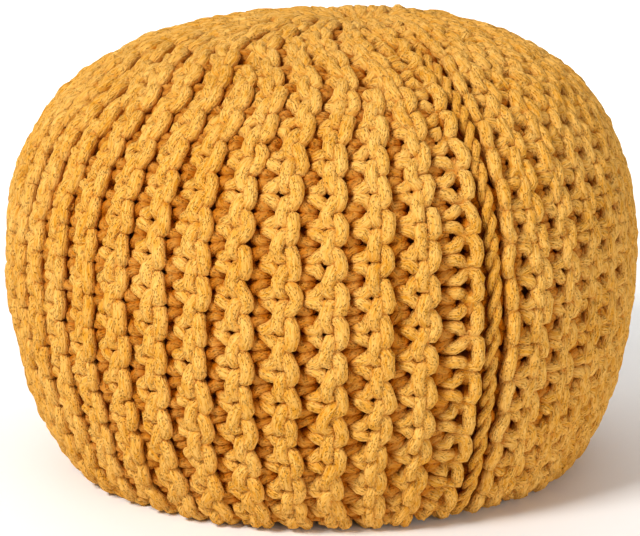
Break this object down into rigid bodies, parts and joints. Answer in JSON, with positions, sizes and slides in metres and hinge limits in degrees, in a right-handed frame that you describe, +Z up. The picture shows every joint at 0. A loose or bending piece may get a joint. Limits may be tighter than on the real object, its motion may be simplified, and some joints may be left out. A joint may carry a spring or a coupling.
{
  "type": "knitted pouf",
  "caption": "Round filled pouf in chunky garter-stitch cotton cord, with upright ridges drawn together at the crown, a laced side seam and a flat foot.",
  "frame": {"origin": "centre of the foot on the floor", "axes": "+Z up through the middle of the pouf; the front looks along -Y and the seam lies to its right"},
  "size_m": [0.4994, 0.4994, 0.3495],
  "materials": {
    "knit_cotton": "matte cotton cord",
    "seam_cotton": "matte cotton cord"
  },
  "bodies": {
    "root": {"knit_cover": "knit_cotton", "seam_cord": "seam_cotton"}
  },
  "joints": []
}
